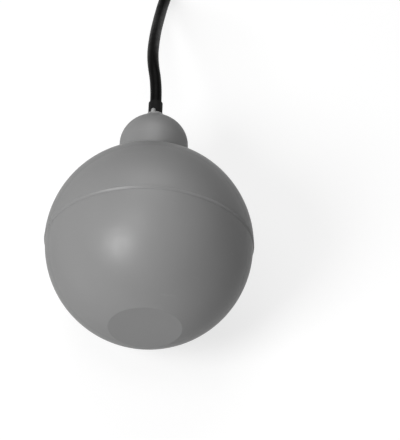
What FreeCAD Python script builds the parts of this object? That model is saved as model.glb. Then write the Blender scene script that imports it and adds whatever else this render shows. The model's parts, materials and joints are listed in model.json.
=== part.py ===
import FreeCAD, Part

import math
import os

# A tethered float level switch: a welded ball float with a domed cable neck, lying on its side.
# Each piece is modelled about the centre of the ball, with Y along the float's axis towards the
# cable, and `placed` then sets it on the surface z = 0. Lengths are in millimetres.

V = FreeCAD.Vector
CENTRE = V(0, 0, 0)
ALONG = V(0, 1, 0)
UP = V(0, 0, 1)

# ---- driving sizes: ball and neck -------------------------------------------------------------
ball_r = 70.0           # outside radius of the float
wall = 3.0              # thickness of both shells
flat_r = 25.3           # flat on the pole opposite the cable
flat_round = 1.4        # rounding of that flat's edge
neck_r = 23.1           # outside radius of the cable neck
neck_rise = 11.4        # from the top of the ball to where the neck's dome starts
neck_round = 1.6        # fillet between ball and neck
dome_h = 21.1           # height of the neck's elliptical dome
bead_r = 0.9            # section radius of the weld bead on the seam
bead_stand = 0.6        # how far the bead stands out of the ball
rim_wall = 6.2          # thickness of the weld rims
rim_depth = 7.0         # how far each rim runs in from the seam
rim_slope = 3.0         # bevel that ends each rim
tongue_w = 1.8          # tongue of the upper shell
tongue_h = 3.0
tongue_gap = 0.1        # play of the tongue in its groove
gusset_count = 6
gusset_t = 2.2

# ---- driving sizes: cable and its seal --------------------------------------------------------
cable_r = 3.9           # outside radius of the three-core cable
core_r = 1.2            # insulated conductor
core_ring_r = 1.55      # circle that the three conductors lie on
cable_play = 0.04       # around the cable in what grips it
pocket_r = 10.5         # pocket in the neck for the rubber grommet
pocket_roof = 8.0       # plastic above the pocket, on the axis
pocket_depth = 14.5
grommet_play = 0.15
collar_wall = 0.9       # rubber collar that stands out round the cable
collar_rise = 14.1      # from the top of the dome to the end of the collar
sealant_r = 8.6         # foot of the ring of sealant round the collar
sealant_rise = 1.4      # its crest, from the top of the dome
sealant_crest = 1.2     # width of the crest
sealant_drop_r = 1.7    # run of sealant standing on the crest
sealant_drop_rise = 0.7 # its middle above the crest
washer_r = 14.0
washer_t = 1.5
crimp_wall = 1.3
crimp_len = 8.5
strip_len = 3.0         # jacket below the crimp

# ---- driving sizes: switch capsule ------------------------------------------------------------
steel_ball_r = 9.525
ball_play = 0.35        # between the ball and its tube
tube_wall = 2.8
tube_floor = 2.5
tube_len = 55.0         # from the capsule's end to the floor of the switch chamber
chamber_r = 15.5
chamber_wall = 2.5
chamber_len = 39.0
skirt_len = 46.0        # from the roof of the neck's cavity to the end of the skirt
capsule_in = 16.0       # how far the capsule's head goes into the skirt
skirt_wall = 3.2
skirt_play = 0.3
capsule_flange_r = 30.0
capsule_flange_t = 3.0
cap_flange_t = 3.0
cap_plug_len = 6.0
cap_play = 0.2
oring_r = 0.95
oring_play = 0.025
wire_hole_r = 4.6
socket_wall = 3.6       # socket in the lower shell that holds the end of the capsule
socket_play = 0.2
socket_grip = 4.5
ballast_r = 33.0
ballast_h = 20.0
ballast_play = 0.3

# ---- driving sizes: snap switch ---------------------------------------------------------------
case_w = 19.8           # across the capsule
case_h = 10.2           # along the capsule
case_t = 6.4
case_wall = 1.0
case_stand = 5.0        # from the floor of the chamber to the case
case_hole_r = 1.1
case_hole_end = 5.15    # from the end of the case to a screw hole
case_hole_in = 2.8      # from the terminal side of the case
case_boss_wall = 0.8
screw_r = 1.0
screw_head_r = 1.9
screw_head_t = 1.3
bracket_t = 2.5
bracket_play = 0.1
lever_w = 2.6
lever_t = 0.3
lever_len = 16.7
lever_lean = 7.0        # degrees that the free lever leans away from the case
pivot_r = 0.5
pivot_play = 0.04
curl_wall = 0.35
pivot_in = 1.7          # from the end of the case
pivot_out = 1.0         # from the face of the case
ear_t = 0.8
plunger_r = 0.95
plunger_arm = 5.7       # from the lever's pivot
plunger_play = 0.06
plunger_gap = 0.08      # from the plunger to the lever and to the blade
blade_t = 0.3
blade_w = 2.6
blade_high = 3.4        # from the case's face to the blade
contact_r = 0.9
contact_t = 0.45
contact_gap = 1.7       # between the blade's contact and the open one
blade_pivot_r = 0.45    # rolled end on which the blade turns
terminal_w = 2.4
terminal_t = 0.5
terminal_out = 6.0
terminal_in = 2.3       # from the end of the case to the middle of an outer terminal
sleeve_wall = 0.3
sleeve_play = 0.2
sleeve_len = 8.0

# ---- driving sizes: the free cable ------------------------------------------------------------
coil_x = -28.0          # middle of the coil, across the float's axis and along it
coil_y = 318.0
coil_r = 46.25          # mean radius of the turns put away
coil_rows = 4           # turns side by side, and as many layers
turn_pitch = 7.9
tie_t = 1.2
tie_w = 6.0
tie_play = 0.2
lead_bare = 9.0         # bare end of each conductor
strand_r = 0.6

# ---- places worked out along the axis, from the centre of the ball ----------------------------
flat_at = -math.sqrt(ball_r**2 - flat_r**2)
inner_r = ball_r - wall
shoulder = ball_r + neck_rise
dome_top = shoulder + dome_h
pocket_top = dome_top - pocket_roof
cavity_top = pocket_top - pocket_depth
collar_r = cable_r + collar_wall
collar_end = dome_top + collar_rise
hole_r = collar_r + grommet_play
washer_low = cavity_top - washer_t
crimp_low = washer_low - crimp_len
jacket_end = crimp_low - strip_len
skirt_end = cavity_top - skirt_len
head_r = chamber_r + chamber_wall
cavity_r = head_r + skirt_play
skirt_r = cavity_r + skirt_wall
tube_bore_r = steel_ball_r + ball_play
tube_r = tube_bore_r + tube_wall
chamber_top = skirt_end + capsule_in
chamber_low = chamber_top - chamber_len
cap_top = chamber_top + cap_flange_t
capsule_end = chamber_low - tube_len
steel_ball_at = capsule_end + tube_floor + ball_play + steel_ball_r
case_low = chamber_low + case_stand
case_top = case_low + case_h
terminal_end = case_top + terminal_out
pivot_x = -case_w / 2 + pivot_in
pivot_at = case_low - pivot_out
plunger_x = pivot_x + plunger_arm
case_hole_pitch = case_w - 2 * case_hole_end
terminal_pitch = case_w / 2 - terminal_in
ballast_top = skirt_end + ballast_h
seat_z = ball_r + bead_stand
seat_y = -(flat_at + collar_end) / 2


def dome_at(radius):
    """Height of the neck's dome at a radius."""
    return shoulder + dome_h * math.sqrt(1 - (radius / neck_r) ** 2)


def on_ball(radius, along):
    """Distance from the axis of a sphere of that radius."""
    return math.sqrt(radius**2 - along**2)


# ---- helpers ----------------------------------------------------------------------------------
def flat_point(point):
    return V(point[0], point[1], 0)


def outline(start, *steps):
    """Edges in the radius-along plane. A step is an end point, or an arc's middle and end."""
    edges, here = [], start
    for step in steps:
        if isinstance(step[0], tuple):
            middle, end = step
            edges.append(Part.Arc(flat_point(here), flat_point(middle), flat_point(end)).toShape())
        else:
            end = step
            edges.append(Part.LineSegment(flat_point(here), flat_point(end)).toShape())
        here = end
    return edges


def section(start, *steps):
    """A closed face in the radius-along plane."""
    return Part.Face(Part.Wire(outline(start, *steps, start)))


def turned(face):
    return face.revolve(CENTRE, ALONG, 360)


def ring(inner, outer, low, high):
    """A plain tube or washer about the axis, or a disc where inner is 0."""
    solid = Part.makeCylinder(outer, high - low, V(0, low, 0), ALONG)
    if inner > 0:
        solid = solid.cut(Part.makeCylinder(inner, high - low, V(0, low, 0), ALONG))
    return solid


def block(x, along, z):
    """A box from three (low, high) pairs."""
    size = [pair[1] - pair[0] for pair in (x, along, z)]
    return Part.makeBox(*size, V(x[0], along[0], z[0]))


def sphere_arc(radius, start, end):
    """Middle and end of an arc on a sphere, between two places along the axis."""
    turn = [math.asin(place / radius) for place in (start, end)]
    middle = sum(turn) / 2
    return (radius * math.cos(middle), radius * math.sin(middle)), (on_ball(radius, end), end)


def rounded(shape, radius, at_radius, at_along):
    """The shape with the circular edge at that radius and place along the axis rounded."""
    picked = [
        edge
        for edge in shape.Edges
        if isinstance(edge.Curve, Part.Circle)
        and abs(edge.Curve.Radius - at_radius) < 0.01
        and abs(edge.Curve.Center.y - at_along) < 0.01
    ]
    return shape.makeFillet(radius, picked)


def gussets(inner, corner, low):
    """Ribs from a central tube out to the shell, with their free edge from the tube to a corner."""
    outline = [(inner, low), (inner, corner[1]), (corner[0], corner[1]), (inner_r + wall / 2, low)]
    wire = Part.makePolygon([flat_point(point) for point in outline + outline[:1]])
    rib = Part.Face(wire).extrude(V(0, 0, gusset_t))
    rib.translate(V(0, 0, -gusset_t / 2))
    rib = rib.common(Part.makeSphere(inner_r + wall / 2))
    ribs = []
    for number in range(gusset_count):
        turned_rib = rib.copy()
        turned_rib.rotate(CENTRE, ALONG, 360 * number / gusset_count)
        ribs.append(turned_rib)
    return ribs


def route(points, name=None):
    """Straight runs joined by tangent arcs, each arc as large as its two runs allow."""
    edges, here, radii = [], points[0], []
    for before, corner, after in zip(points, points[1:], points[2:]):
        to_before, to_after = before - corner, after - corner
        half_turn = (math.pi - to_before.getAngle(to_after)) / 2
        reach = 0.45 * min(to_before.Length, to_after.Length)
        radius = reach / math.tan(half_turn)
        radii.append(radius)
        start = corner + to_before.normalize() * reach
        end = corner + to_after.normalize() * reach
        bisector = (to_before + to_after).normalize()
        middle = corner + bisector * (radius / math.cos(half_turn) - radius)
        edges.append(Part.LineSegment(here, start).toShape())
        edges.append(Part.Arc(start, middle, end).toShape())
        here = end
    edges.append(Part.LineSegment(here, points[-1]).toShape())
    if name:
        print(name, "bend radii:", [round(radius, 1) for radius in radii])
    return Part.Wire(edges)


def swept(path, radius, name=None):
    """A round solid along a path."""
    start = path.Edges[0]
    heading = start.tangentAt(start.FirstParameter)
    ring_wire = Part.Wire(Part.Circle(start.valueAt(start.FirstParameter), heading, radius).toShape())
    solid = path.makePipeShell([ring_wire], True, False)
    if name:
        ideal = math.pi * radius**2 * path.Length
        print(name, "length", round(path.Length, 1), "volume over ideal", round(solid.Volume / ideal, 4))
    return solid


# ---- shells -----------------------------------------------------------------------------------
def rim_steps(side):
    """From the inside of a shell to the seam, along its thickened weld rim; side is 1 or -1."""
    return [
        (ball_r - rim_wall, side * (rim_depth - rim_slope)),
        (ball_r - rim_wall, 0),
    ]


def tongue_steps(play):
    """Round the tongue, or round its groove where play is given."""
    middle = ball_r - rim_wall / 2
    inner, outer = middle - tongue_w / 2 - play, middle + tongue_w / 2 + play
    low = -tongue_h - 2 * play
    return [(inner, 0), (inner, low), (outer, low), (outer, 0)]


def dome_arc(from_radius, to_radius):
    """Part of the neck's elliptical outline, from one radius in to another."""
    centre, side, top = V(0, shoulder, 0), V(neck_r, shoulder, 0), V(0, dome_top, 0)
    # An ellipse is given by its longer half first.
    halves = (side, top) if neck_r >= dome_h else (top, side)
    ellipse = Part.Ellipse(*halves, centre)
    ends = [ellipse.parameter(V(radius, dome_at(radius), 0)) for radius in (from_radius, to_radius)]
    return Part.ArcOfEllipse(ellipse, min(ends), max(ends)).toShape()


def lower_shell():
    """Half of the ball with the flat, the weld groove, and the socket and ribs for the capsule."""
    floor = flat_at + wall
    shell = turned(
        section(
            (ball_r, 0),
            sphere_arc(ball_r, 0, flat_at),
            (0, flat_at),
            (0, floor),
            (on_ball(inner_r, floor), floor),
            sphere_arc(inner_r, floor, -rim_depth),
            *rim_steps(-1),
            *tongue_steps(tongue_gap),
        )
    )
    shell = rounded(shell, flat_round, flat_r, flat_at)
    bore_r = tube_r + socket_play
    socket_r = bore_r + socket_wall
    socket_top = capsule_end + socket_grip
    socket = ring(tube_r - tube_wall, socket_r, floor - wall / 2, socket_top)
    socket = socket.cut(ring(0, bore_r, capsule_end, socket_top))
    corner = (socket_r + 2 * gusset_t, capsule_end)
    ribs = gussets(socket_r - socket_wall / 2, corner, floor - wall / 2)
    return shell.fuse([socket] + ribs).removeSplitter()


def upper_shell():
    """The other half, with the tongue, the weld bead, the domed neck and the capsule's skirt."""
    neck_foot = on_ball(ball_r, neck_r)
    skirt_top = on_ball(inner_r, skirt_r)
    outside = outline((ball_r, 0), sphere_arc(ball_r, 0, neck_foot), (neck_r, shoulder))
    inside = outline(
        (hole_r, dome_at(hole_r)),
        (hole_r, pocket_top),
        (pocket_r, pocket_top),
        (pocket_r, cavity_top),
        (cavity_r, cavity_top),
        (cavity_r, skirt_end),
        (skirt_r, skirt_end),
        (skirt_r, skirt_top),
        sphere_arc(inner_r, skirt_top, rim_depth),
        *rim_steps(1),
        *tongue_steps(0),
        (ball_r, 0),
    )
    shell = turned(Part.Face(Part.Wire(outside + [dome_arc(neck_r, hole_r)] + inside)))
    shell = rounded(shell, neck_round, neck_r, neck_foot)
    bead = Part.makeTorus(ball_r + bead_stand - bead_r, bead_r, V(0, bead_r, 0), ALONG)
    corner = (ballast_r, ballast_top + ballast_play)
    ribs = gussets(skirt_r - skirt_wall / 2, corner, skirt_top)
    return shell.fuse([bead] + ribs).removeSplitter()


def ballast_ring():
    """Cast weight round the skirt, held between the capsule's flange and the ribs."""
    return ring(skirt_r + ballast_play, ballast_r, skirt_end, ballast_top)


# ---- cable entry ------------------------------------------------------------------------------
def cable_grommet():
    """Rubber seal in the neck's pocket, with two sealing ridges and a collar up the cable."""
    ridge_r = pocket_r - grommet_play
    waist_r = ridge_r - 2 * collar_wall
    step = pocket_depth / 5
    return turned(
        section(
            (cable_r + cable_play, cavity_top),
            (ridge_r, cavity_top),
            (ridge_r, cavity_top + step),
            (waist_r, cavity_top + 1.5 * step),
            (waist_r, cavity_top + 3.5 * step),
            (ridge_r, cavity_top + 4 * step),
            (ridge_r, pocket_top - grommet_play),
            (collar_r, pocket_top - grommet_play),
            (collar_r, collar_end),
            (cable_r + cable_play, collar_end),
        )
    )


def entry_sealant():
    """Ring of sealant drawn up round the collar, with one run standing on its crest."""
    inner = collar_r + cable_play
    crest_at = dome_top + sealant_rise
    crest_r = inner + sealant_crest
    foot = (sealant_r, dome_at(sealant_r))
    flank_middle = ((crest_r + foot[0]) / 2 - 0.3, (crest_at + foot[1]) / 2 - 0.3)
    top = outline((inner, crest_at), (crest_r, crest_at), (flank_middle, foot))
    inside = outline((hole_r, dome_at(hole_r)), (inner, dome_at(hole_r)), (inner, crest_at))
    mound = turned(Part.Face(Part.Wire(top + [dome_arc(sealant_r, hole_r)] + inside)))
    drop_at = V(-sealant_crest, crest_at + sealant_drop_rise, inner + sealant_crest / 2)
    drop = Part.makeSphere(sealant_drop_r, drop_at)
    drop = drop.cut(ring(0, inner, dome_top, collar_end))
    return mound.fuse(drop)


def thrust_washer():
    return ring(cable_r + skirt_play, washer_r, washer_low, cavity_top)


def crimp_outline():
    """Hexagon-crimped sleeve with no bore."""
    across = cable_r + cable_play + crimp_wall
    corner = across / math.cos(math.radians(30))
    corners = [math.radians(60 * number) for number in range(7)]
    points = [V(corner * math.cos(turn), crimp_low, corner * math.sin(turn)) for turn in corners]
    hexagon = Part.Face(Part.makePolygon(points)).extrude(ALONG * crimp_len)
    return hexagon.common(ring(0, across + crimp_wall / 3, crimp_low, washer_low))


def crimp_sleeve():
    """Sleeve crimped on the jacket, which bears on the washer when the cable is pulled."""
    return crimp_outline().cut(ring(0, cable_r + cable_play, crimp_low, washer_low))


def cable_entry():
    """The length of cable inside the neck and the collar."""
    return ring(0, cable_r, jacket_end, collar_end)


def core_places():
    """Where each conductor starts at its terminal and where it lies in the cable."""
    starts = (-terminal_pitch, 0, terminal_pitch)
    turns = (210, 90, 330)
    for start, turn in zip(starts, turns):
        turn = math.radians(turn)
        yield start, core_ring_r * math.cos(turn), core_ring_r * math.sin(turn)


def core(number, radius):
    """A conductor from its terminal to the cut end of the jacket."""
    start, end_x, end_z = list(core_places())[number]
    leave = terminal_end + 4 * core_r
    join = chamber_top - cap_plug_len + core_r
    points = [
        V(start, terminal_end, 0),
        V(start, leave, 0),
        V(end_x, join, end_z),
        V(end_x, jacket_end, end_z),
    ]
    return swept(route(points), radius)


def neck_potting():
    """Resin cast on the capsule's cap, round the conductors, the jacket's end and the crimp."""
    fill = ring(0, cavity_r, cap_top, washer_low)
    tools = [ring(0, cable_r + cable_play, jacket_end, washer_low), crimp_outline()]
    tools += [core(number, core_r + cable_play) for number in range(3)]
    return fill.cut(tools)


def core_sleeves():
    """Shrink sleeves over the three soldered joints."""
    inner = core_r + sleeve_play
    sleeves = []
    for start, _, _ in core_places():
        sleeve = ring(inner, inner + sleeve_wall, 0, sleeve_len)
        sleeve.translate(V(start, terminal_end - sleeve_len / 2, 0))
        sleeves.append(sleeve)
    return Part.makeCompound(sleeves)


# ---- switch capsule ---------------------------------------------------------------------------
def switch_capsule():
    """Moulded tube for the rolling ball, widening to the chamber of the snap switch."""
    return turned(
        section(
            (0, capsule_end),
            (tube_r, capsule_end),
            (tube_r, chamber_low - (head_r - tube_r)),
            (head_r, chamber_low),
            (head_r, skirt_end - capsule_flange_t),
            (capsule_flange_r, skirt_end - capsule_flange_t),
            (capsule_flange_r, skirt_end),
            (head_r, skirt_end),
            (head_r, chamber_top),
            (chamber_r, chamber_top),
            (chamber_r, chamber_low),
            (tube_bore_r, chamber_low),
            (tube_bore_r, capsule_end + tube_floor),
            (0, capsule_end + tube_floor),
        )
    )


def screw_places():
    at = case_top - case_hole_in
    return [V(x, at, 0) for x in (-case_hole_pitch / 2, case_hole_pitch / 2)]


def across_holes(radius, low, high):
    """Cylinders along Z on the switch's two fixing screws."""
    return [Part.makeCylinder(radius, high - low, place + V(0, 0, low), UP) for place in screw_places()]


def capsule_cap():
    """Lid of the capsule, with an O-ring groove, a wire hole and the bracket for the switch."""
    plug_low = chamber_top - cap_plug_len
    plug_r = chamber_r - cap_play
    groove_r = chamber_r - 2 * (oring_r + oring_play)
    groove_low = chamber_top - cap_plug_len / 2 - oring_r - cap_play
    groove_high = chamber_top - cap_plug_len / 2 + oring_r + cap_play
    lid = turned(
        section(
            (wire_hole_r, plug_low),
            (plug_r, plug_low),
            (plug_r, groove_low),
            (groove_r, groove_low),
            (groove_r, groove_high),
            (plug_r, groove_high),
            (plug_r, chamber_top),
            (head_r, chamber_top),
            (head_r, cap_top),
            (wire_hole_r, cap_top),
        )
    )
    near = case_t / 2 + bracket_play
    half = case_w / 2 - case_wall
    foot = case_top - 2 * case_hole_in
    bracket = block((-half, half), (foot, plug_low + cap_play), (near, near + bracket_t))
    bracket = bracket.cut(across_holes(screw_r + pivot_play, near, near + bracket_t))
    return lid.fuse(bracket).removeSplitter()


def cap_oring():
    major = chamber_r - oring_play - oring_r
    return Part.makeTorus(major, oring_r, V(0, chamber_top - cap_plug_len / 2, 0), ALONG)


def steel_ball():
    return Part.makeSphere(steel_ball_r, V(0, steel_ball_at, 0))


# ---- snap switch ------------------------------------------------------------------------------
half_w = case_w / 2
half_t = case_t / 2
inside_t = half_t - case_wall
blade_at = case_low + blade_high
contact_x = terminal_pitch
open_contact_at = blade_at + blade_t / 2 + contact_t + contact_gap
closed_contact_at = blade_at - blade_t / 2 - contact_t - plunger_gap
strap_z = (blade_w / 2 + plunger_gap, blade_w / 2 + plunger_gap + terminal_t)


def switch_base():
    """Cup of the snap switch, with bosses for the screws and ears for the lever's pin."""
    body = block((-half_w, half_w), (case_low, case_top), (-inside_t, half_t))
    inner_x = half_w - case_wall
    room = block(
        (-inner_x, inner_x), (case_low + case_wall, case_top - case_wall), (-inside_t, inside_t)
    )
    body = body.cut(room)
    body = body.fuse(across_holes(case_hole_r + case_boss_wall, -inside_t, inside_t))
    for side in (-1, 1):
        near = lever_w / 2 + plunger_gap
        low, high = sorted((side * near, side * (near + ear_t)))
        body = body.fuse(
            block((pivot_x - ear_t, pivot_x + ear_t), (pivot_at - ear_t, case_low), (low, high))
        )
    pin_hole = Part.makeCylinder(
        pivot_r + pivot_play / 2, case_t, V(pivot_x, pivot_at, -half_t), UP
    )
    plunger_hole = Part.makeCylinder(
        plunger_r + plunger_play, case_wall, V(plunger_x, case_low, 0), ALONG
    )
    slots = [
        block(
            (x - terminal_w / 2 - plunger_play, x + terminal_w / 2 + plunger_play),
            (case_top - case_wall, case_top),
            (-terminal_t / 2 - plunger_play, terminal_t / 2 + plunger_play),
        )
        for x in (-terminal_pitch, 0, terminal_pitch)
    ]
    holes = across_holes(case_hole_r, -half_t, half_t)
    return body.cut([pin_hole, plunger_hole] + slots + holes).removeSplitter()


def switch_cover():
    plate = block((-half_w, half_w), (case_low, case_top), (-half_t, -inside_t))
    return plate.cut(across_holes(case_hole_r, -half_t, -inside_t))


def switch_screws():
    """Two screws through the switch into the bracket."""
    shank_end = half_t + bracket_play + bracket_t
    shanks = across_holes(screw_r, -half_t, shank_end)
    heads = across_holes(screw_head_r, -half_t - screw_head_t, -half_t)
    slots = [
        block(
            (place.x - screw_head_r, place.x + screw_head_r),
            (place.y - screw_head_t / 4, place.y + screw_head_t / 4),
            (-half_t - screw_head_t, -half_t - screw_head_t / 2),
        )
        for place in screw_places()
    ]
    screws = [shank.fuse(head).cut(slot) for shank, head, slot in zip(shanks, heads, slots)]
    return Part.makeCompound(screws)


def lever_pin():
    reach = lever_w / 2 + plunger_gap + ear_t
    return Part.makeCylinder(pivot_r, 2 * reach, V(pivot_x, pivot_at, -reach), UP)


def lever_face(along_lever):
    """Place along the float's axis of the lever's upper face, that far across from its pivot."""
    lean = math.radians(lever_lean)
    face = pivot_r + pivot_play + curl_wall - lever_t
    return pivot_at - face / math.cos(lean) - along_lever * math.tan(lean)


def switch_lever():
    """Sprung strip, curled round the pin at one end, that the ball presses."""
    curl_r = pivot_r + pivot_play + curl_wall
    curl = Part.makeCylinder(curl_r, lever_w, V(0, 0, -lever_w / 2), UP)
    strip = block((0, lever_len), (-curl_r, lever_t - curl_r), (-lever_w / 2, lever_w / 2))
    lip = block(
        (lever_len - lever_t, lever_len), (-curl_r, curl_r - lever_t), (-lever_w / 2, lever_w / 2)
    )
    bore = Part.makeCylinder(pivot_r + pivot_play, lever_w, V(0, 0, -lever_w / 2), UP)
    lever = curl.fuse([strip, lip]).cut(bore).removeSplitter()
    lever.rotate(CENTRE, UP, -lever_lean)
    lever.translate(V(pivot_x, pivot_at, 0))
    return lever


def switch_plunger():
    """Pin with domed ends between the lever and the blade."""
    low = lever_face(plunger_arm) + plunger_gap
    high = blade_at - blade_t / 2 - plunger_gap
    pin = Part.makeCylinder(plunger_r, high - low, V(plunger_x, low, 0), ALONG)
    ends = [edge for edge in pin.Edges if isinstance(edge.Curve, Part.Circle)]
    return pin.makeFillet(plunger_r * 0.8, ends)


def contact_button(low, high):
    return Part.makeCylinder(contact_r, high - low, V(contact_x, low, 0), ALONG)


def blade_pivot(radius, width):
    return Part.makeCylinder(radius, width, V(-terminal_pitch, blade_at, -width / 2), UP)


def snap_blade():
    """Moving contact strip, with a rolled end that rocks in the foot of the common terminal."""
    start = -terminal_pitch
    end = contact_x + contact_r
    low, high = blade_at - blade_t / 2, blade_at + blade_t / 2
    strip = block((start, end), (low, high), (-blade_w / 2, blade_w / 2))
    buttons = [contact_button(low - contact_t, low), contact_button(high, high + contact_t)]
    return strip.fuse(buttons + [blade_pivot(blade_pivot_r, blade_w)])


def terminal_blade(x):
    """The flat end of a terminal, from inside the case to its solder joint."""
    return block(
        (x - terminal_w / 2, x + terminal_w / 2),
        (case_top - 1.5 * case_wall, terminal_end),
        (-terminal_t / 2, terminal_t / 2),
    )


def terminal_common():
    """Terminal whose foot has a half-round seat for the blade's rolled end."""
    x = -terminal_pitch
    seat_r = blade_pivot_r + plunger_gap
    across, up = (x - seat_r, x + seat_r), (-blade_w / 2, blade_w / 2)
    foot = block(across, (blade_at + blade_t, case_top - case_wall), up)
    foot = foot.cut(blade_pivot(seat_r, blade_w))
    return terminal_blade(x).fuse(foot).removeSplitter()


def terminal_open():
    """Terminal whose contact the blade meets when the lever is pressed."""
    x = terminal_pitch
    low = open_contact_at
    along = (low + contact_t, case_top - case_wall)
    post = block((x - terminal_t, x + 2 * terminal_t), along, (-contact_r, contact_r))
    return terminal_blade(x).fuse([post, contact_button(low, low + contact_t)]).removeSplitter()


def terminal_closed():
    """Terminal led down past the blade to the contact that it rests on."""
    foot = closed_contact_at - contact_t
    low = foot - terminal_t
    jog = case_top - 2 * case_wall
    column = block((-terminal_w / 2, terminal_w / 2), (low, case_top - case_wall), strap_z)
    step = block(
        (-terminal_w / 2, terminal_w / 2), (jog, case_top - case_wall), (-terminal_t / 2, strap_z[1])
    )
    strap = block((-terminal_w / 2, contact_x + contact_r), (low, low + 2 * terminal_t), strap_z)
    tab = block((contact_x - contact_r, contact_x + contact_r), (low, foot), (-contact_r, strap_z[1]))
    button = contact_button(foot, closed_contact_at)
    return terminal_blade(0).fuse([column, step, strap, tab, button]).removeSplitter()


# ---- the free cable, in the frame of the surface it lies on ----------------------------------
exit_point = V(0, seat_y + collar_end, seat_z)
coil_centre = V(coil_x, coil_y, 0)
coil_low = tie_t + tie_play
tie_turns = (60, 180, 300)
layer_low = coil_low + cable_r
layer_top = layer_low + (coil_rows - 1) * turn_pitch
coil_half = (coil_rows - 1) * turn_pitch / 2

run_points = [
    exit_point,
    exit_point + V(0, 14, 0),
    V(-5.0, 127, 67.2),
    V(-3.6, 156, 49.5),
    V(-1.8, 186, 26.5),
    V(1.2, 216, 8.7),
    V(7, 244, 3.9),
    V(16, 270, 3.9),
    V(25, 295, 4.2),
    V(30, coil_y, layer_low),
]


def round_coil(turn, radius, height):
    """A point beside the coil, from its angle in degrees, its radius and its height."""
    angle = math.radians(turn)
    return coil_centre + V(radius * math.cos(angle), radius * math.sin(angle), height)


tail_points = [
    round_coil(2, 59.5, 28.5),
    round_coil(23, 65.5, 26),
    round_coil(45, 70, 17.5),
    round_coil(67, 71.5, 8),
    round_coil(88, 71, cable_r),
    round_coil(107, 72, cable_r),
]


def cable_run():
    """From the collar down to the surface and on to the coil."""
    return swept(route(run_points, "cable_run"), cable_r, "cable_run")


def cable_tail():
    """From the last turn of the coil down to the stripped end."""
    return swept(route(tail_points, "cable_tail"), cable_r, "cable_tail")


def coil_block(grow):
    """Outer form of the wound turns, grown by the room for a tie or by the tie itself."""
    reach = coil_half + cable_r + grow
    foot = coil_centre + V(0, 0, coil_low - grow)
    height = layer_top + cable_r - coil_low + 2 * grow
    outer = Part.makeCylinder(coil_r + reach, height, foot, UP)
    coil = outer.cut(Part.makeCylinder(coil_r - reach, height, foot, UP))
    rims = [edge for edge in coil.Edges if isinstance(edge.Curve, Part.Circle)]
    return coil.makeFillet(cable_r + grow, rims)


def cable_coil():
    """The turns put away, as one solid of their outer form."""
    return coil_block(0)


def coil_ties():
    """Three bands round the coil, which it lies on."""
    bands = coil_block(tie_play + tie_t).cut(coil_block(tie_play))
    reach = 2 * (coil_half + cable_r + tie_play + tie_t)
    ties = []
    for turn in tie_turns:
        slab = Part.makeBox(reach, tie_w, 2 * layer_top, V(coil_r - reach / 2, -tie_w / 2, -tie_t))
        slab.rotate(CENTRE, UP, turn)
        slab.translate(coil_centre)
        ties.append(bands.common(slab))
    return Part.makeCompound(ties)


def beyond(forward, side, height):
    """A point past the cut end of the cable, along and across its heading, above the surface."""
    heading = (tail_points[-1] - tail_points[-2]).normalize()
    point = tail_points[-1] + heading * forward + heading.cross(UP) * side
    return V(point.x, point.y, height)


lead_points = {
    "lead_black": [
        beyond(0, -1.35, 3.1),
        beyond(7, -1.35, 3.1),
        beyond(19, -4.3, 1.9),
        beyond(34, -8.4, 1.2),
        beyond(46, -9.6, 1.2),
    ],
    "lead_white": [
        beyond(0, 0, 5.4),
        beyond(8, 0, 5.4),
        beyond(20, 1.2, 2.9),
        beyond(34, 1.6, 1.2),
        beyond(47, 0.2, 1.2),
    ],
    "lead_red": [
        beyond(0, 1.35, 3.1),
        beyond(7, 1.35, 3.1),
        beyond(18, 4.7, 1.9),
        beyond(31, 9.8, 1.2),
        beyond(42, 12.2, 1.2),
    ],
}


def lead(points):
    """An insulated conductor that leaves the jacket, with its bare end."""
    heading = (points[-1] - points[-2]).normalize()
    strands = Part.makeCylinder(strand_r, lead_bare, points[-1], heading)
    return swept(route(points), core_r).fuse(strands)


# ---- the whole part ---------------------------------------------------------------------------
def placed(shape):
    """A piece of the float, set where it lies."""
    shape.translate(V(0, seat_y, seat_z))
    return shape


float_pieces = [
    lower_shell,
    upper_shell,
    ballast_ring,
    cable_grommet,
    entry_sealant,
    thrust_washer,
    crimp_sleeve,
    cable_entry,
    neck_potting,
    core_sleeves,
    switch_capsule,
    capsule_cap,
    cap_oring,
    steel_ball,
    switch_base,
    switch_cover,
    switch_screws,
    lever_pin,
    switch_lever,
    switch_plunger,
    snap_blade,
    terminal_common,
    terminal_open,
    terminal_closed,
]
cable_pieces = [cable_run, cable_coil, cable_tail, coil_ties]
core_names = ["core_common", "core_closed", "core_open"]

os.makedirs("parts", exist_ok=True)
shapes = {piece.__name__: placed(piece()) for piece in float_pieces}
for number, name in enumerate(core_names):
    shapes[name] = placed(core(number, core_r))
for piece in cable_pieces:
    shapes[piece.__name__] = piece()
for name, points in lead_points.items():
    shapes[name] = lead(points)
for name, shape in shapes.items():
    shape.exportStep(f"parts/{name}.step")
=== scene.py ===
import json
import math

import bmesh
import bpy
from bpy.props import FloatProperty, FloatVectorProperty, IntProperty, PointerProperty
from mathutils import Matrix, Vector, noise


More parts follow.
